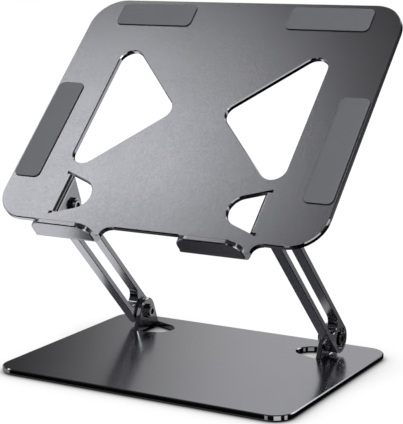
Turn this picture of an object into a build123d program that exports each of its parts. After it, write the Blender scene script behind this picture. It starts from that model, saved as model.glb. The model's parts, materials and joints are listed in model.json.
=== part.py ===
from build123d import *
import math
import os

# Folding laptop stand. Millimetres, +Z up, +Y away from the user, +X to the user's right.
# The origin is on the desk, under the centre of the base plate.

# Sheet metal
SHEET = 4.0
EDGE_CHAMFER = 0.6
PLATE_OVERLAP = 1.0  # how far a bent piece reaches into its sheet, so that they join

# Base plate and feet
BASE_WIDTH = 234.0
BASE_DEPTH = 179.0
BASE_CORNER = 15.0
FOOT_HEIGHT = 1.0
FOOT_LENGTH = 28.0
FOOT_WIDTH = 12.0
FOOT_CORNER = 4.0
FOOT_INSET_X = 98.0
FOOT_INSET_Y = 76.0
BASE_TOP = FOOT_HEIGHT + SHEET

# Tray plate. On the tray, "across" runs along X and "up" runs from the hook edge to the top edge.
TRAY_WIDTH = 260.0
TRAY_HEIGHT = 211.5
TRAY_CORNER = 25.0
TRAY_TILT = 44.8

# Arms
ARM_LENGTH = 144.0
ARM_ELEVATION = 45.0
ARM_END_RADIUS = 11.0
ARM_THICKNESS = 8.0
ARM_INNER_X = 82.3
ARM_OUTER_X = ARM_INNER_X + ARM_THICKNESS
SLOT_WIDTH = 13.6
SLOT_END = 12.7
ARM_CHAMFER = 0.35

# Ears. Each plate has two, 4 mm thick, cut on three sides and bent at a right angle.
EAR_INNER_X = 77.3
EAR_OUTER_X = EAR_INNER_X + SHEET
EAR_TIP_RADIUS = 10.5
EAR_ROOT_HALF = 16.4
EAR_BEND_OUTER = 2.8
EAR_BEND_INNER = 1.0
BASE_EAR_HEIGHT = 12.8
TRAY_EAR_HEIGHT = 11.6
TRAY_EAR_UP = 24.7
BASE_EAR_Y = 59.0

# The opening an ear is cut out of: its outline, offset by the width of the cut
CUT = 1.8
CUT_TIP_X = 55.2
CUT_ROOT_HALF = 18.4
CUT_ROOT_X = 82.4

# Triangular windows: a right angle towards the middle, and an upright outer side
WINDOW_OUTER_X = 86.5
WINDOW_APEX_X = 18.5
WINDOW_CORNER = 10.0

# Hooks, seen from the side: a tab below the tray's lower edge, a bend, then a lip towards the user
HOOK_CENTRE = 58.6
HOOK_WIDTH = 49.2
HOOK_TAB = 7.6
HOOK_BEND_INNER = 1.5
HOOK_LIP_HEIGHT = 16.2
HOOK_CORNER = 10.0
HOOK_ROOT_FILLET = 7.0

# Pads and liners
PAD_THICKNESS = 1.2
PAD_CORNER = 4.5
PAD_EDGE_ROUNDING = 0.4
TOP_PAD_WIDTH = 66.0
TOP_PAD_HEIGHT = 21.4
TOP_PAD_ACROSS = 72.9
TOP_PAD_UP = 196.3
SIDE_PAD_WIDTH = 22.0
SIDE_PAD_HEIGHT = 89.3
SIDE_PAD_ACROSS = 117.0
SIDE_PAD_UP = 80.3
LINER_WIDTH = 40.0
LINER_THICKNESS = 1.0
LINER_LOW = 3.0
LINER_HIGH = 13.5
LINER_CORNER = 3.0

# Hinge hardware, M6
SCREW_RADIUS = 3.0
HINGE_CLEARANCE = 0.05
RECESS_RADIUS = 8.5
RECESS_DEPTH = 5.0
HEAD_RADIUS = 5.0
HEAD_HEIGHT = 3.5
HEAD_CHAMFER = 0.5
SOCKET_FLATS = 4.0
SOCKET_DEPTH = 2.2
FLAT_WASHER_RADIUS = 8.0
FLAT_WASHER_THICKNESS = 1.0
SPRING_RADIUS = 6.2
SPRING_THICKNESS = 0.5
SPRING_CONE = 0.35
FRICTION_WASHER_RADIUS = 10.2
FRICTION_WASHER_GAP = 0.05
WASHER_BORE_RADIUS = 3.2
NUT_FLATS = 10.0
NUT_HEX_HEIGHT = 2.8
NUT_HEIGHT = 4.0
NUT_COLLAR_RADIUS = 4.3
NUT_COLLAR_ROUNDING = 0.4
NUT_LIP_RADIUS = 2.45
NUT_LIP_THICKNESS = 0.8
SCREW_TIP_INSET = 1.2
SCREW_TIP_CHAMFER = 0.4

SIDES = {"left": -1, "right": 1}

LOWER_PIVOT = Vector(0, BASE_EAR_Y, BASE_TOP + BASE_EAR_HEIGHT)
UPPER_PIVOT = LOWER_PIVOT + Vector(
    0,
    -ARM_LENGTH * math.cos(math.radians(ARM_ELEVATION)),
    ARM_LENGTH * math.sin(math.radians(ARM_ELEVATION)),
)

# Tray frame: local x is across, local y is up the tray, local z leaves the face the laptop lies on.
# Its origin is on that face, at the middle of the hook edge.
TRAY_UP = Vector(0, math.cos(math.radians(TRAY_TILT)), math.sin(math.radians(TRAY_TILT)))
TRAY_OUT = Vector(0, -math.sin(math.radians(TRAY_TILT)), math.cos(math.radians(TRAY_TILT)))
TRAY_ORIGIN = UPPER_PIVOT - TRAY_UP * TRAY_EAR_UP + TRAY_OUT * (SHEET + TRAY_EAR_HEIGHT)
TRAY_PLACE = Location(Plane(origin=TRAY_ORIGIN, x_dir=(1, 0, 0), z_dir=TRAY_OUT))


def cut_sheet(outline):
    """Sheet with its underside at z = 0, chamfered around its outline and its openings."""
    sheet = extrude(outline, SHEET)
    rims = sheet.edges().group_by(Axis.Z)
    return chamfer(rims[0] + rims[-1], EDGE_CHAMFER)


def across_x(sketch, x_low, x_high):
    """Sweep a sketch drawn in (Y, Z) along X, from x_low to x_high."""
    placed = Plane(origin=(x_low, 0, 0), x_dir=(0, 1, 0), z_dir=(1, 0, 0)) * sketch
    return extrude(placed, x_high - x_low)


def tapered_tongue(tip_centre, tip_radius, root_half):
    """Outline that is wide at its root, on the x axis, and tapers to a round tip above it."""
    reach = math.hypot(tip_centre, root_half)
    lean = math.atan2(root_half, tip_centre) - math.asin(tip_radius / reach)
    touch_x = tip_radius * math.cos(lean)
    touch_y = tip_centre + tip_radius * math.sin(lean)
    sides = Polygon(
        (-root_half, 0),
        (root_half, 0),
        (touch_x, touch_y),
        (-touch_x, touch_y),
        align=None,
    )
    return sides + Pos(0, tip_centre) * Circle(tip_radius)


def ear_opening(side, up_centre):
    """Outline of the opening that an ear leaves in its plate."""
    tip_radius = EAR_TIP_RADIUS + CUT
    tongue = tapered_tongue(CUT_ROOT_X - CUT_TIP_X - tip_radius, tip_radius, CUT_ROOT_HALF)
    inward = 90 if side > 0 else -90
    return Pos(side * CUT_ROOT_X, up_centre) * Rot(0, 0, inward) * tongue


def ear(side, hole_height):
    """Ear bent up out of a sheet whose top is z = 0, centred on y = 0, with its hole at hole_height.

    It includes the sheet's thickness at the bend, and a cove on the bend's inner side."""
    outline = tapered_tongue(hole_height, EAR_TIP_RADIUS, EAR_ROOT_HALF)
    outline += Pos(0, -SHEET / 2) * Rectangle(2 * EAR_ROOT_HALF, SHEET)
    leg = across_x(outline, EAR_INNER_X, EAR_OUTER_X)
    broad_faces = leg.faces().filter_by(Axis.X)
    rims = broad_faces.edges().filter_by(lambda edge: edge.center().Z > EDGE_CHAMFER)
    leg = chamfer(rims, EDGE_CHAMFER)
    bend = leg.edges().filter_by(Axis.Y).sort_by(lambda edge: edge.center().Z + edge.center().X)[0]
    leg = fillet(bend, EAR_BEND_OUTER)
    bridge_length = CUT_ROOT_X + PLATE_OVERLAP - EAR_OUTER_X
    bridge = Pos(EAR_OUTER_X + bridge_length / 2, 0, -SHEET / 2) * Box(
        bridge_length, 2 * EAR_ROOT_HALF, SHEET
    )
    cove = Pos(EAR_OUTER_X + EAR_BEND_INNER / 2, 0, EAR_BEND_INNER / 2) * Box(
        EAR_BEND_INNER, 2 * EAR_ROOT_HALF - 2 * EAR_BEND_INNER, EAR_BEND_INNER
    )
    cove -= Pos(EAR_OUTER_X + EAR_BEND_INNER, 0, EAR_BEND_INNER) * Rot(90, 0, 0) * Cylinder(
        EAR_BEND_INNER, 2 * EAR_ROOT_HALF
    )
    solid = leg + bridge + cove
    solid -= hinge_bore(hole_height, SCREW_RADIUS + HINGE_CLEARANCE)
    return solid if side > 0 else mirror(solid, Plane.YZ)


def hinge_bore(height, radius):
    return Pos(EAR_OUTER_X, 0, height) * Rot(0, 90, 0) * Cylinder(radius, 4 * SHEET)


def base_plate():
    outline = RectangleRounded(BASE_WIDTH, BASE_DEPTH, BASE_CORNER)
    for side in SIDES.values():
        outline -= ear_opening(side, BASE_EAR_Y)
    plate = Pos(0, 0, FOOT_HEIGHT) * cut_sheet(outline)
    for side in SIDES.values():
        plate += Pos(0, BASE_EAR_Y, BASE_TOP) * ear(side, BASE_EAR_HEIGHT)
    return plate


def foot(side, end):
    pad = extrude(RectangleRounded(FOOT_LENGTH, FOOT_WIDTH, FOOT_CORNER), FOOT_HEIGHT)
    return Pos(side * FOOT_INSET_X, end * FOOT_INSET_Y, 0) * pad


def window(side):
    """Outline of a triangular window. Its right angle is level with the middle of the tray."""
    half = WINDOW_OUTER_X - WINDOW_APEX_X
    triangle = Polygon(
        (WINDOW_APEX_X, 0),
        (WINDOW_OUTER_X, -half),
        (WINDOW_OUTER_X, half),
        align=None,
    )
    triangle = fillet(triangle.vertices(), WINDOW_CORNER)
    placed = Pos(0, TRAY_HEIGHT / 2) * triangle
    return placed if side > 0 else mirror(placed, Plane.YZ)


def hook(side):
    """Tab, bend and lip of one hook, in the tray frame, with the fillets that join it to the edge."""
    bend_outer = HOOK_BEND_INNER + SHEET
    lip_length = HOOK_LIP_HEIGHT - HOOK_BEND_INNER
    lip_low = -HOOK_TAB - bend_outer
    tab = Pos(0, (PLATE_OVERLAP - HOOK_TAB) / 2, -SHEET / 2) * Box(
        HOOK_WIDTH, HOOK_TAB + PLATE_OVERLAP, SHEET
    )
    ring = Circle(bend_outer) - Circle(HOOK_BEND_INNER)
    quarter = ring & (Pos(-bend_outer / 2, -bend_outer / 2) * Rectangle(bend_outer, bend_outer))
    bend = across_x(quarter, -HOOK_WIDTH / 2, HOOK_WIDTH / 2)
    bend = Pos(0, -HOOK_TAB, HOOK_BEND_INNER) * bend
    lip = Pos(0, lip_low + SHEET / 2, HOOK_BEND_INNER + lip_length / 2) * Box(
        HOOK_WIDTH, SHEET, lip_length
    )
    corners = lip.edges().filter_by(Axis.Y).group_by(Axis.Z)[-1]
    lip = fillet(corners, HOOK_CORNER)
    lip = chamfer(lip.faces().filter_by(Axis.Y, reverse=True).sort_by(Axis.Z)[-1].edges(), EDGE_CHAMFER)
    solid = tab + bend + lip
    for end in (-1, 1):
        solid += Pos(end * HOOK_WIDTH / 2, 0, -SHEET) * edge_fillet(end)
    return Pos(side * HOOK_CENTRE, 0, 0) * solid


def edge_fillet(end):
    """Concave fillet in the sheet between a tab's side and the tray's lower edge."""
    radius = HOOK_ROOT_FILLET
    square = Pos(end * radius / 2, (PLATE_OVERLAP - radius) / 2) * Rectangle(
        radius, radius + PLATE_OVERLAP
    )
    web = square - Pos(end * radius, -radius) * Circle(radius)
    return extrude(web, SHEET)


def tray_sheet():
    """Tray in its own frame: the face the laptop lies on is z = 0, and the hook edge is y = 0."""
    outline = Pos(0, TRAY_HEIGHT / 2) * RectangleRounded(TRAY_WIDTH, TRAY_HEIGHT, TRAY_CORNER)
    for side in SIDES.values():
        outline -= window(side)
        outline -= ear_opening(side, TRAY_EAR_UP)
    sheet = Pos(0, 0, -SHEET) * cut_sheet(outline)
    for side in SIDES.values():
        sheet += hook(side)
        back_ear = mirror(ear(side, TRAY_EAR_HEIGHT), Plane.XY)
        sheet += Pos(0, TRAY_EAR_UP, -SHEET) * back_ear
    return sheet


def tray_pad(width, height, across, up):
    pad = extrude(RectangleRounded(width, height, PAD_CORNER), PAD_THICKNESS)
    pad = fillet(pad.edges().group_by(Axis.Z)[-1], PAD_EDGE_ROUNDING)
    return TRAY_PLACE * Pos(across, up, 0) * pad


def hook_liner(side):
    """Liner on the side of the lip that faces the laptop's front edge."""
    height = LINER_HIGH - LINER_LOW
    face_up = -HOOK_TAB - HOOK_BEND_INNER
    strip = extrude(RectangleRounded(LINER_WIDTH, height, LINER_CORNER), LINER_THICKNESS)
    upright = Plane(
        origin=(side * HOOK_CENTRE, face_up, (LINER_LOW + LINER_HIGH) / 2),
        x_dir=(1, 0, 0),
        z_dir=(0, 1, 0),
    )
    return TRAY_PLACE * upright.location * strip


def arm(side):
    """Link along +Y from its lower pivot at the origin, then turned and moved into place."""
    middle = ARM_LENGTH / 2
    blank = Pos(middle, 0) * SlotCenterToCenter(ARM_LENGTH, 2 * ARM_END_RADIUS)
    slot_centres = ARM_LENGTH - 2 * (SLOT_END + SLOT_WIDTH / 2)
    blank -= Pos(middle, 0) * SlotCenterToCenter(slot_centres, SLOT_WIDTH)
    link = extrude(blank, ARM_THICKNESS)
    rims = link.edges().group_by(Axis.Z)
    link = chamfer(rims[0] + rims[-1], ARM_CHAMFER)
    for along in (0, ARM_LENGTH):
        recess = Pos(along, 0, ARM_THICKNESS - RECESS_DEPTH / 2) * Cylinder(RECESS_RADIUS, RECESS_DEPTH)
        bore = Pos(along, 0, ARM_THICKNESS / 2) * Cylinder(
            SCREW_RADIUS + HINGE_CLEARANCE, ARM_THICKNESS
        )
        link -= recess + bore
    direction = (UPPER_PIVOT - LOWER_PIVOT).normalized()
    place = Plane(
        origin=LOWER_PIVOT + Vector(ARM_INNER_X, 0, 0),
        x_dir=direction,
        z_dir=(1, 0, 0),
    )
    link = place * link
    return link if side > 0 else mirror(link, Plane.YZ)


def along_hinge(solid, pivot, x_low):
    """Place a part drawn along +Z, with its low end at x_low on the right-hand hinge."""
    return Pos(x_low, pivot.Y, pivot.Z) * Rot(0, 90, 0) * solid


def both_sides(solid):
    return [mirror(solid, Plane.YZ), solid]


RECESS_FLOOR_X = ARM_OUTER_X - RECESS_DEPTH
SPRING_SEAT_X = RECESS_FLOOR_X + FLAT_WASHER_THICKNESS
SPRING_STACK = 2 * (SPRING_THICKNESS + SPRING_CONE)
HEAD_SEAT_X = SPRING_SEAT_X + SPRING_STACK
NUT_END_X = EAR_INNER_X - NUT_HEIGHT


def hinge_screw(pivot):
    """Low cap screw: its tip stops just inside the nut, and its head is in the arm's recess."""
    tip_x = NUT_END_X + SCREW_TIP_INSET
    shank_length = HEAD_SEAT_X - tip_x
    shank = Cylinder(SCREW_RADIUS, shank_length, align=(Align.CENTER, Align.CENTER, Align.MIN))
    shank = chamfer(shank.edges().sort_by(Axis.Z)[0], SCREW_TIP_CHAMFER)
    head = Cylinder(HEAD_RADIUS, HEAD_HEIGHT, align=(Align.CENTER, Align.CENTER, Align.MIN))
    head = chamfer(head.edges().sort_by(Axis.Z)[-1], HEAD_CHAMFER)
    socket = extrude(RegularPolygon(SOCKET_FLATS / 2, 6, major_radius=False), SOCKET_DEPTH)
    head -= Pos(0, 0, HEAD_HEIGHT - SOCKET_DEPTH) * socket
    return along_hinge(shank + Pos(0, 0, shank_length) * head, pivot, tip_x)


def flat_washer(pivot):
    ring = extrude(Circle(FLAT_WASHER_RADIUS) - Circle(WASHER_BORE_RADIUS), FLAT_WASHER_THICKNESS)
    return along_hinge(ring, pivot, RECESS_FLOOR_X)


def disc_springs(pivot):
    """Two conical disc springs, rim to rim, between the flat washer and the screw head."""
    profile = Polygon(
        (WASHER_BORE_RADIUS, 0),
        (WASHER_BORE_RADIUS, SPRING_THICKNESS),
        (SPRING_RADIUS, SPRING_THICKNESS + SPRING_CONE),
        (SPRING_RADIUS, SPRING_CONE),
        align=None,
    )
    disc = revolve(Plane.XZ * profile, Axis.Z)
    upper = Pos(0, 0, SPRING_STACK) * mirror(disc, Plane.XY)
    return [along_hinge(spring, pivot, SPRING_SEAT_X) for spring in (disc, upper)]


def friction_washer(pivot):
    thickness = ARM_INNER_X - EAR_OUTER_X - 2 * FRICTION_WASHER_GAP
    ring = extrude(Circle(FRICTION_WASHER_RADIUS) - Circle(WASHER_BORE_RADIUS), thickness)
    return along_hinge(ring, pivot, EAR_OUTER_X + FRICTION_WASHER_GAP)


def lock_nut(pivot):
    """Thin lock nut: a hexagon against the ear, and a round collar with a lip at its free end."""
    hexagon = extrude(RegularPolygon(NUT_FLATS / 2, 6, major_radius=False), NUT_HEX_HEIGHT)
    collar_height = NUT_HEIGHT - NUT_HEX_HEIGHT
    collar = Cylinder(NUT_COLLAR_RADIUS, collar_height, align=(Align.CENTER, Align.CENTER, Align.MIN))
    collar = fillet(collar.edges().sort_by(Axis.Z)[0], NUT_COLLAR_ROUNDING)
    nut = Pos(0, 0, collar_height) * hexagon + collar
    nut -= Cylinder(NUT_LIP_RADIUS, 2 * NUT_HEIGHT)
    nut -= Pos(0, 0, NUT_LIP_THICKNESS + NUT_HEIGHT / 2) * Cylinder(SCREW_RADIUS, NUT_HEIGHT)
    return along_hinge(nut, pivot, NUT_END_X)


def hinge_nodes(name, pivot):
    springs = disc_springs(pivot)
    return {
        f"{name}_hinge_screws": both_sides(hinge_screw(pivot)),
        f"{name}_hinge_flat_washers": both_sides(flat_washer(pivot)),
        f"{name}_hinge_disc_springs": both_sides(springs[0]) + both_sides(springs[1]),
        f"{name}_hinge_friction_washers": both_sides(friction_washer(pivot)),
        f"{name}_hinge_nuts": both_sides(lock_nut(pivot)),
    }


def build():
    nodes = {"base_plate": [base_plate()], "tray_plate": [TRAY_PLACE * tray_sheet()]}
    for side_name, side in SIDES.items():
        for end_name, end in {"front": -1, "rear": 1}.items():
            nodes[f"foot_{end_name}_{side_name}"] = [foot(side, end)]
        nodes[f"arm_{side_name}"] = [arm(side)]
        nodes[f"pad_top_{side_name}"] = [
            tray_pad(TOP_PAD_WIDTH, TOP_PAD_HEIGHT, side * TOP_PAD_ACROSS, TOP_PAD_UP)
        ]
        nodes[f"pad_side_{side_name}"] = [
            tray_pad(SIDE_PAD_WIDTH, SIDE_PAD_HEIGHT, side * SIDE_PAD_ACROSS, SIDE_PAD_UP)
        ]
        nodes[f"hook_liner_{side_name}"] = [hook_liner(side)]
    nodes.update(hinge_nodes("lower", LOWER_PIVOT))
    nodes.update(hinge_nodes("upper", UPPER_PIVOT))
    return nodes


os.makedirs("parts", exist_ok=True)
for node_name, shapes in build().items():
    solids = [solid for shape in shapes for solid in shape.solids()]
    node = solids[0] if len(solids) == 1 else Compound(children=solids)
    export_step(node, f"parts/{node_name}.step")
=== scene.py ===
import json
import math

import bmesh
import bpy
from mathutils import Matrix, Vector


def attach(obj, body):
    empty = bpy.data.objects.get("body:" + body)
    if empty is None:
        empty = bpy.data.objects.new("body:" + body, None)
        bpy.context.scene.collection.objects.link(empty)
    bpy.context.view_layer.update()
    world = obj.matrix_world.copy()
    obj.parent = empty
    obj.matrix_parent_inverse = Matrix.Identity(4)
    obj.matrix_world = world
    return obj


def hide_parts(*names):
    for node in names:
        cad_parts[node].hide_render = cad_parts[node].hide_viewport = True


# Looks of the folding laptop stand. Metres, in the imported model's frame: +Z up, +Y away from the user.

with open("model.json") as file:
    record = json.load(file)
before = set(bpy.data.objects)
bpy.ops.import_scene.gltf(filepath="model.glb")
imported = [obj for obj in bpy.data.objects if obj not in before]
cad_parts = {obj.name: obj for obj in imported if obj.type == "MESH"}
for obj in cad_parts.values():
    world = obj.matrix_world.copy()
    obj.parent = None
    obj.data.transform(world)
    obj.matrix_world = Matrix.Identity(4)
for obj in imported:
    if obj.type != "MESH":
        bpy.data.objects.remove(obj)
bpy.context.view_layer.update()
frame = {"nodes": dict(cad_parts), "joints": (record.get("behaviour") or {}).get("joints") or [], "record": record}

MM = 0.001
SCENE = bpy.context.scene

# Directions and places on the tray, from the record's mounts
MOUNTS = {mount["name"]: mount for mount in frame["record"]["mounts"]}
ACROSS = Vector((1, 0, 0))
UPWARDS = Vector((0, 0, 1))
TRAY_OUT = Vector(MOUNTS["laptop_rest"]["axis"]).normalized()
TRAY_UP = TRAY_OUT.cross(ACROSS)
PAD_CENTRE = Vector(MOUNTS["laptop_rest"]["pos_m"])


# ---------------------------------------------------------------- node helpers

def put(tree, kind, inputs=None, **settings):
    """Add a node. Inputs are values or sockets to link, by name or number."""
    node = tree.nodes.new(kind)
    for name, value in settings.items():
        setattr(node, name, value)
    for key, value in (inputs or {}).items():
        if isinstance(value, bpy.types.NodeSocket):
            tree.links.new(value, node.inputs[key])
        else:
            node.inputs[key].default_value = value
    return node


def calc(tree, operation, *values):
    return put(tree, "ShaderNodeMath", dict(enumerate(values)), operation=operation).outputs[0]


def dot(tree, vector, direction):
    inputs = {0: vector, 1: tuple(direction)}
    return put(tree, "ShaderNodeVectorMath", inputs, operation="DOT_PRODUCT").outputs["Value"]


def ramp(tree, value, low, high, out_low=0.0, out_high=1.0):
    """Smooth step of a value from low to high, clamped."""
    inputs = {0: value, 1: low, 2: high, 3: out_low, 4: out_high}
    node = put(tree, "ShaderNodeMapRange", inputs, interpolation_type="SMOOTHSTEP")
    return node.outputs["Result"]


def blend_value(tree, factor, low, high):
    return put(tree, "ShaderNodeMix", {0: factor, 2: low, 3: high}, data_type="FLOAT").outputs[0]


def blend_colour(tree, factor, low, high):
    return put(tree, "ShaderNodeMix", {0: factor, 6: low, 7: high}, data_type="RGBA").outputs[2]


def noise(tree, place, size, detail=2.0, roughness=0.5):
    """Noise whose features are about size metres across, from 0 to 1."""
    inputs = {"Vector": place, "Scale": 1 / size, "Detail": detail, "Roughness": roughness}
    return put(tree, "ShaderNodeTexNoise", inputs).outputs["Fac"]


def new_material(name, **constants):
    """A material with one Principled shader, whose plain inputs are given by name."""
    material = bpy.data.materials.new(name)
    material.use_nodes = True
    tree = material.node_tree
    tree.nodes.clear()
    shader = put(tree, "ShaderNodeBsdfPrincipled")
    for key, value in constants.items():
        shader.inputs[key.replace("_", " ")].default_value = value
    output = put(tree, "ShaderNodeOutputMaterial")
    tree.links.new(shader.outputs[0], output.inputs["Surface"])
    return material, tree, shader


def place_and_normal(tree):
    """Position and normal on the piece itself, so that they move with it."""
    coordinates = put(tree, "ShaderNodeTexCoord")
    return coordinates.outputs["Object"], coordinates.outputs["Normal"]


# ---------------------------------------------------------------- materials

WHITE = (1, 1, 1, 1)
METAL = (0.42, 0.424, 0.453, 1)
METAL_DARK = (0.38, 0.384, 0.412, 1)
CUT_ROUGHNESS = 0.06
CUT_BUMP = 0.03
CLOUD_SIZE = 60 * MM
CLOUD_ROUGHNESS = 0.06
FINE_SIZE = 0.35 * MM
FINE_ROUGHNESS = 0.04
BUMP_DISTANCE = 0.02 * MM


def scaled(tree, value, factor):
    return calc(tree, "MULTIPLY", value, factor)


def satin_metal(name, broad, face_roughness=0.22, grain_depth=0.3, grain_size=0.9 * MM):
    """Anodised metal: finely grained on its broad faces, smoother where it was cut or bent.

    broad(tree, place, normal) gives 1 on the broad faces and 0 on cut edges and bends."""
    material, tree, shader = new_material(name, Metallic=1.0)
    place, normal = place_and_normal(tree)
    on_face = broad(tree, place, normal)
    clouds = noise(tree, place, CLOUD_SIZE, 3.0)
    grain = noise(tree, place, grain_size, 3.0, 0.6)
    fine = noise(tree, place, FINE_SIZE, 1.0)
    colour = blend_colour(tree, ramp(tree, grain, 0.3, 0.7), METAL_DARK, METAL)
    colour = blend_colour(tree, on_face, METAL, colour)
    tree.links.new(colour, shader.inputs["Base Color"])
    rough = face_roughness - CLOUD_ROUGHNESS / 2
    rough = calc(tree, "ADD", rough, scaled(tree, clouds, CLOUD_ROUGHNESS))
    rough = calc(tree, "ADD", rough, scaled(tree, fine, FINE_ROUGHNESS))
    tree.links.new(blend_value(tree, on_face, CUT_ROUGHNESS, rough), shader.inputs["Roughness"])
    bump = put(tree, "ShaderNodeBump", {
        "Strength": blend_value(tree, on_face, CUT_BUMP, grain_depth),
        "Distance": BUMP_DISTANCE,
        "Height": calc(tree, "ADD", grain, scaled(tree, fine, 0.5)),
    })
    tree.links.new(bump.outputs[0], shader.inputs["Normal"])
    return material


def facing(tree, normal, direction):
    """1 where a face looks along direction, either way, and 0 elsewhere."""
    return ramp(tree, calc(tree, "ABSOLUTE", dot(tree, normal, direction)), 0.9, 0.98)


def beyond(tree, place, direction, distance):
    """1 where a point lies further along direction than distance, and 0 elsewhere."""
    return calc(tree, "GREATER_THAN", dot(tree, place, direction), distance)


def any_of(tree, *values):
    total = values[0]
    for value in values[1:]:
        total = calc(tree, "MAXIMUM", total, value)
    return total


def all_of(tree, *values):
    product = values[0]
    for value in values[1:]:
        product = calc(tree, "MULTIPLY", product, value)
    return product


BASE_TOP = 5 * MM
TRAY_DEPTH = 5.4 * MM  # just more than a pad and the sheet together
TOP_PAD_TO_HOOKS = 204 * MM  # from the middle of a top pad down to the start of the hooks


def base_broad(tree, place, normal):
    """The base sheet's broad faces look up or down, and its ears' look sideways."""
    ear = all_of(tree, facing(tree, normal, ACROSS), beyond(tree, place, UPWARDS, BASE_TOP))
    return any_of(tree, facing(tree, normal, UPWARDS), ear)


def tray_broad(tree, place, normal):
    """As on the base, and the hooks' lips look up and down the tray."""
    behind = beyond(tree, place, -TRAY_OUT, TRAY_DEPTH - TRAY_OUT.dot(PAD_CENTRE))
    below = beyond(tree, place, -TRAY_UP, TOP_PAD_TO_HOOKS - TRAY_UP.dot(PAD_CENTRE))
    ear = all_of(tree, facing(tree, normal, ACROSS), behind)
    lip = all_of(tree, facing(tree, normal, TRAY_UP), below)
    return any_of(tree, facing(tree, normal, TRAY_OUT), ear, lip)


def joint_place(name):
    return Vector(next(joint["pos_m"] for joint in frame["joints"] if joint["name"] == name))


def arm_broad(tree, place, normal):
    """An arm's two sides, and its long flat edges, which lie square to the sides and the arm's length."""
    along = (joint_place("tray_hinge") - joint_place("arm_left_hinge")).normalized()
    return any_of(tree, facing(tree, normal, ACROSS), facing(tree, normal, along.cross(ACROSS)))


def silicone(name, tone, roughness, top=None):
    """Matte rubber. With top given, only faces that look along it keep the full tone: the others get painted
    shade, down to a tenth of the tone.
    """
    material, tree, shader = new_material(name)
    place, normal = place_and_normal(tree)
    grain = noise(tree, place, 0.5 * MM, 3.0, 0.6)
    clouds = noise(tree, place, 20 * MM, 2.0)
    shade = calc(tree, "ADD", 0.94, scaled(tree, calc(tree, "ADD", grain, clouds), 0.06))
    if top:
        # Painted shade: faces turned away from top are darkened, down to a tenth, standing in for the shade on the
        # pads' sides.
        shade = all_of(tree, shade, ramp(tree, dot(tree, normal, top), 0.3, 0.9, 0.1, 1.0))
    colour = put(tree, "ShaderNodeVectorMath", {0: tone, "Scale": shade}, operation="SCALE")
    tree.links.new(colour.outputs[0], shader.inputs["Base Color"])
    rough = calc(tree, "ADD", roughness, scaled(tree, grain, 0.12))
    tree.links.new(rough, shader.inputs["Roughness"])
    bump = put(tree, "ShaderNodeBump", {"Strength": 0.35, "Distance": 0.04 * MM, "Height": grain})
    tree.links.new(bump.outputs[0], shader.inputs["Normal"])
    shader.inputs["Specular IOR Level"].default_value = 0.3
    return material


def hardware(name, tone, roughness, end_highlight_tone=None):
    """Turned or pressed steel, with fine marks and worn high spots.

    With the end tone given, the flat ends of a piece that lies across the stand have that tone, a painted
    highlight lighter than its sides."""
    material, tree, shader = new_material(name, Metallic=1.0)
    place, normal = place_and_normal(tree)
    marks = noise(tree, place, 0.4 * MM, 3.0, 0.6)
    patches = noise(tree, place, 3 * MM, 2.0)
    worn = tuple(min(1.0, channel * 1.7) for channel in tone[:3]) + (1,)
    colour = blend_colour(tree, ramp(tree, patches, 0.52, 0.75), tone, worn)
    if end_highlight_tone:
        # Painted highlight: faces that look across the stand get the lighter end tone.
        colour = blend_colour(tree, facing(tree, normal, ACROSS), colour, end_highlight_tone)
    tree.links.new(colour, shader.inputs["Base Color"])
    rough = calc(tree, "ADD", roughness, scaled(tree, marks, 0.15))
    tree.links.new(rough, shader.inputs["Roughness"])
    bump = put(tree, "ShaderNodeBump", {"Strength": 0.2, "Distance": BUMP_DISTANCE, "Height": marks})
    tree.links.new(bump.outputs[0], shader.inputs["Normal"])
    return material


# ---------------------------------------------------------------- soft pieces

TRAY_AXES = Matrix((ACROSS, TRAY_UP, TRAY_OUT))
LIP_AXES = Matrix((ACROSS, -TRAY_OUT, TRAY_UP))
FOOT_AXES = Matrix((ACROSS, Vector((0, -1, 0)), Vector((0, 0, -1))))
CORNER_STEPS = 10


def extent(node, axes):
    """A CAD node's lowest and highest corners along three axes."""
    points = [axes @ vertex.co for vertex in frame["nodes"][node].data.vertices]
    low = Vector([min(point[k] for point in points) for k in range(3)])
    high = Vector([max(point[k] for point in points) for k in range(3)])
    return low, high


def ring_points(width, height, corner, z):
    """A rectangle with round corners, as a closed ring of points at height z."""
    points = []
    for quarter in range(4):
        centre_x = (width / 2 - corner) * (1, -1, -1, 1)[quarter]
        centre_y = (height / 2 - corner) * (1, 1, -1, -1)[quarter]
        for step in range(CORNER_STEPS + 1):
            turn = (quarter + step / CORNER_STEPS) * math.pi / 2
            x = centre_x + corner * math.cos(turn)
            y = centre_y + corner * math.sin(turn)
            points.append((x, y, z))
    return points


def slab_profile(thickness, rounding, crown, half_width):
    """(inset, height) pairs from the bottom edge, over the rounded rim, to the middle of the top."""
    profile = [(0, 0), (0, thickness - crown - rounding)]
    for step in range(1, 5):
        turn = step / 4 * math.pi / 2
        profile.append((
            rounding * (1 - math.cos(turn)),
            thickness - crown - rounding * (1 - math.sin(turn)),
        ))
    for share in (0.15, 0.3, 0.5, 0.7, 0.85):
        profile.append((
            rounding + (half_width - rounding) * share,
            thickness - crown * (1 - share) ** 2,
        ))
    return profile


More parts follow.
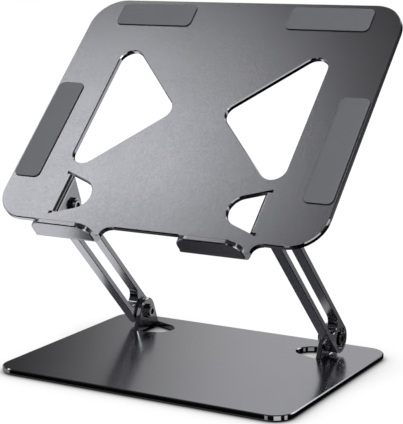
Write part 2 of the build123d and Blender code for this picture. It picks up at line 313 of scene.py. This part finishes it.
def soft_slab(node, axes, corner, rounding, crown):
    """A soft, slightly crowned slab in place of a CAD node.

    The third axis points out of the face that it is stuck to."""
    low, high = extent(node, axes)
    size, middle = high - low, (low + high) / 2
    mesh = bpy.data.meshes.new(f"{node}_soft")
    shape = bmesh.new()
    rings = []
    for inset, z in slab_profile(size.z, rounding, crown, min(size.x, size.y) / 2):
        inner_corner = max(corner - inset, 0.3 * MM)
        points = ring_points(size.x - 2 * inset, size.y - 2 * inset, inner_corner, z)
        rings.append([shape.verts.new(point) for point in points])
    count = len(rings[0])
    for lower, upper in zip(rings, rings[1:]):
        for k in range(count):
            after = (k + 1) % count
            shape.faces.new((lower[k], lower[after], upper[after], upper[k]))
    shape.faces.new(rings[-1])
    shape.faces.new(reversed(rings[0]))
    for face in shape.faces:
        face.smooth = True
    origin = Vector((middle.x, middle.y, low.z))
    placement = axes.transposed().to_4x4() @ Matrix.Translation(origin)
    shape.transform(placement)
    shape.normal_update()
    shape.to_mesh(mesh)
    shape.free()
    piece = bpy.data.objects.new(f"{node}_soft", mesh)
    SCENE.collection.objects.link(piece)
    return piece


def stand_in(piece, node, body, material):
    piece.data.materials.append(material)
    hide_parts(node)
    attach(piece, body)


def add_soft_pieces():
    # The pads' sides get painted shade, through top=TRAY_OUT.
    pad_material = silicone("pad_silicone", (0.34, 0.345, 0.375), roughness=0.55, top=TRAY_OUT)
    liner_material = silicone("liner_silicone", (0.12, 0.122, 0.13), roughness=0.5)
    foot_material = silicone("foot_rubber", (0.02, 0.02, 0.021), roughness=0.6)
    for side in ("left", "right"):
        for spot in ("top", "side"):
            node = f"pad_{spot}_{side}"
            piece = soft_slab(node, TRAY_AXES, corner=4.5 * MM, rounding=0.45 * MM, crown=0.12 * MM)
            stand_in(piece, node, "tray", pad_material)
        node = f"hook_liner_{side}"
        piece = soft_slab(node, LIP_AXES, corner=3 * MM, rounding=0.4 * MM, crown=0.1 * MM)
        stand_in(piece, node, "tray", liner_material)
        for end in ("front", "rear"):
            node = f"foot_{end}_{side}"
            piece = soft_slab(node, FOOT_AXES, corner=4 * MM, rounding=0.3 * MM, crown=0.05 * MM)
            stand_in(piece, node, "base", foot_material)


# ---------------------------------------------------------------- CAD nodes' materials

def dress(node, material):
    slots = frame["nodes"][node].data.materials
    slots.clear()
    slots.append(material)


def dress_frame():
    dress("base_plate", satin_metal("base_metal", base_broad, face_roughness=0.17, grain_depth=0.1))
    tray_metal = satin_metal(
        "tray_metal", tray_broad, face_roughness=0.2, grain_depth=0.9, grain_size=1.7 * MM,
    )
    dress("tray_plate", tray_metal)
    arm_metal = satin_metal("arm_metal", arm_broad, face_roughness=0.2, grain_depth=0.02)
    screw_steel = hardware("screw_steel", (0.1, 0.1, 0.105, 1), roughness=0.15)
    # The nuts' flat ends get a painted highlight, a light tone over the dark steel.
    nut_steel = hardware(
        "nut_steel", (0.07, 0.07, 0.075, 1), roughness=0.12, end_highlight_tone=(0.55, 0.55, 0.58, 1),
    )
    bright_steel = hardware("bright_steel", (0.45, 0.45, 0.47, 1), roughness=0.22)
    acetal = silicone("acetal", (0.03, 0.03, 0.032), roughness=0.35)
    for side in ("left", "right"):
        dress(f"arm_{side}", arm_metal)
    for hinge in ("lower", "upper"):
        dress(f"{hinge}_hinge_screws", screw_steel)
        dress(f"{hinge}_hinge_nuts", nut_steel)
        dress(f"{hinge}_hinge_flat_washers", bright_steel)
        dress(f"{hinge}_hinge_disc_springs", bright_steel)
        dress(f"{hinge}_hinge_friction_washers", acetal)


# ---------------------------------------------------------------- stage, light and camera

CAMERA_PLACE = (0.494567, -0.870305, 0.302635)
CAMERA_AZIMUTH = 29.367
CAMERA_ELEVATION = 10.631
CAMERA_LENS = 119.465


def add_camera():
    data = bpy.data.cameras.new("camera")
    data.lens = CAMERA_LENS
    data.sensor_width = 36
    data.clip_start = 0.05
    data.clip_end = 50
    camera = bpy.data.objects.new("camera", data)
    camera.location = CAMERA_PLACE
    camera.rotation_euler = (
        math.radians(90 - CAMERA_ELEVATION), 0, math.radians(CAMERA_AZIMUTH),
    )
    SCENE.collection.objects.link(camera)
    SCENE.camera = camera


AMBIENT = (0.004, 0.05)  # from level with the horizon, and from above
FILL_FROM = (0.6, -0.45, 0.66)

# The soft box's right edge turns left, nearer than a corner, and its far edge turns near, left of one
BOX_NEAR_CORNER = -0.13
BOX_NEAR_SLOPE = 0.9
BOX_LEFT_CORNER = -0.49
BOX_LEFT_SLOPE = 0.25

# The back wall is lit down to the horizon left of one edge, and elsewhere only above another.
# Each edge is given by where it is dark and where it is full.
STEP_LEFT = (-0.1, -0.3)
STEP_UP = (0.34, 0.42)

# Each light's brightness, then its soft edges: what is measured, where it is dark and where it is full.
# x, y and z are the direction's own, and bearing is in degrees from +Y towards +X.
LIGHTS = {
    "soft_box": (2.48, (
        ("slant", -0.365, -0.545), ("top", -0.005, -0.115), ("z", 0.35, 0.6), ("y", -0.26, -0.16),
    )),
    "back_wall": (0.59, (
        ("x", -0.59, -0.43), ("y", 0.45, 0.65), ("z", 0.75, 0.5), ("z", 0.0, 0.08), ("step", 0, 1),
    )),
    "right_wall": (0.85, (
        ("bearing", 19, 38), ("bearing", 52, 49), ("z", -0.3, -0.22), ("z", 0.02, -0.08),
    )),
    "left_wall": (0.4, (
        ("bearing", -131, -129), ("bearing", -54, -56), ("z", -0.62, -0.5), ("z", 0.4, 0.25),
    )),
    "left_ground": (1.12, (("x", -0.15, -0.35), ("z", -0.5, -0.65), ("y", -0.1, 0.05))),
    "near_ground": (0.45, (("y", -0.15, -0.35), ("z", -0.35, -0.5), ("x", -0.7, -0.5))),
    "fill": (3.3, (("towards_fill", 0.955, 0.98),)),
    "overhead": (1.2, (("z", 0.3, 0.45), ("x", -0.1, 0.0), ("y", 0.45, 0.65))),
    "zenith": (0.25, (("x", -0.25, -0.4), ("z", 0.7, 0.8), ("y", 0.08, 0.2))),
}
STRIPS = (
    # first and last bearing, brightness
    (86, 102, 0.9),
    (122, 158, 1.05),
    (-170, -160, 0.5),
)
STRIP_HEIGHT = (("z", -0.62, -0.52), ("z", 0.72, 0.66))


def fraction(tree, value, dark, full):
    """0 where a value is dark and 1 where it is full, on a straight line."""
    return scaled(tree, calc(tree, "SUBTRACT", value, dark), 1 / (full - dark))


def studio_measures(tree):
    """What the edges of the lights are measured in, for the direction that a ray leaves in."""
    direction = put(tree, "ShaderNodeTexCoord").outputs["Generated"]
    x = dot(tree, direction, (1, 0, 0))
    y = dot(tree, direction, (0, 1, 0))
    z = dot(tree, direction, (0, 0, 1))
    near_part = calc(tree, "MINIMUM", calc(tree, "SUBTRACT", y, BOX_NEAR_CORNER), 0.0)
    left_part = calc(tree, "MINIMUM", calc(tree, "SUBTRACT", x, BOX_LEFT_CORNER), 0.0)
    return {
        "x": x,
        "y": y,
        "z": z,
        "bearing": calc(tree, "DEGREES", calc(tree, "ARCTAN2", x, y)),
        "slant": calc(tree, "SUBTRACT", x, scaled(tree, near_part, BOX_NEAR_SLOPE)),
        "top": calc(tree, "SUBTRACT", y, scaled(tree, left_part, BOX_LEFT_SLOPE)),
        "step": any_of(tree, fraction(tree, x, *STEP_LEFT), fraction(tree, z, *STEP_UP)),
        "towards_fill": dot(tree, direction, FILL_FROM),
    }


def light_part(tree, measures, brightness, edges):
    ramps = [ramp(tree, measures[name], dark, full) for name, dark, full in edges]
    return all_of(tree, brightness, *ramps)


def add_studio():
    """Light that depends on its direction alone: a large soft box to the upper left, pale walls behind
    and at the sides, bright ground, a fill in front, and strip lights that edges glint in.

    The camera sees plain white instead."""
    world = bpy.data.worlds.new("studio")
    SCENE.world = world
    world.use_nodes = True
    tree = world.node_tree
    tree.nodes.clear()
    measures = studio_measures(tree)
    parts = list(LIGHTS.values())
    for first, last, brightness in STRIPS:
        sides = (("bearing", first - 1, first + 1), ("bearing", last + 1, last - 1))
        parts.append((brightness, sides + STRIP_HEIGHT))
    light = ramp(tree, measures["z"], 0.1, 0.4, *AMBIENT)
    for brightness, edges in parts:
        light = calc(tree, "ADD", light, light_part(tree, measures, brightness, edges))
    seen = put(tree, "ShaderNodeLightPath").outputs["Is Camera Ray"]
    strength = blend_value(tree, seen, light, 1.0)
    background = put(tree, "ShaderNodeBackground", {"Color": WHITE, "Strength": strength})
    output = put(tree, "ShaderNodeOutputWorld")
    tree.links.new(background.outputs[0], output.inputs["Surface"])


FLOOR_HALF = 4.0
FLOOR_BRIGHTNESS = 1.02
SHADOW_REACH = 0.06
CLOSE_SHADOW_REACH = 0.03


def openness(tree, reach, power):
    """1 in the open, and less where something stands within reach."""
    occlusion = put(tree, "ShaderNodeAmbientOcclusion", {"Distance": reach}, samples=16)
    return calc(tree, "POWER", occlusion.outputs["AO"], power)


def add_floor():
    """A bright white table with a soft contact shadow. Mirrored rays pass through it to the
    studio light, dimmed where the table is in shadow."""
    mesh = bpy.data.meshes.new("floor")
    corners = [
        (-FLOOR_HALF, -FLOOR_HALF, 0), (FLOOR_HALF, -FLOOR_HALF, 0),
        (FLOOR_HALF, FLOOR_HALF, 0), (-FLOOR_HALF, FLOOR_HALF, 0),
    ]
    mesh.from_pydata(corners, [], [(0, 1, 2, 3)])
    material = bpy.data.materials.new("floor")
    material.use_nodes = True
    tree = material.node_tree
    tree.nodes.clear()
    strength = scaled(tree, openness(tree, SHADOW_REACH, 1.6), FLOOR_BRIGHTNESS)
    glow = put(tree, "ShaderNodeEmission", {"Color": WHITE, "Strength": strength})
    close = openness(tree, CLOSE_SHADOW_REACH, 2.0)
    clear = put(tree, "ShaderNodeBsdfTransparent", {"Color": close})
    seen = put(tree, "ShaderNodeLightPath").outputs["Is Camera Ray"]
    surface = put(tree, "ShaderNodeMixShader", {0: seen, 1: clear.outputs[0], 2: glow.outputs[0]})
    output = put(tree, "ShaderNodeOutputMaterial")
    tree.links.new(surface.outputs[0], output.inputs["Surface"])
    mesh.materials.append(material)
    floor = bpy.data.objects.new("floor", mesh)
    SCENE.collection.objects.link(floor)


SCENE.view_settings.view_transform = "Standard"
add_camera()
add_studio()
add_floor()
add_soft_pieces()
dress_frame()
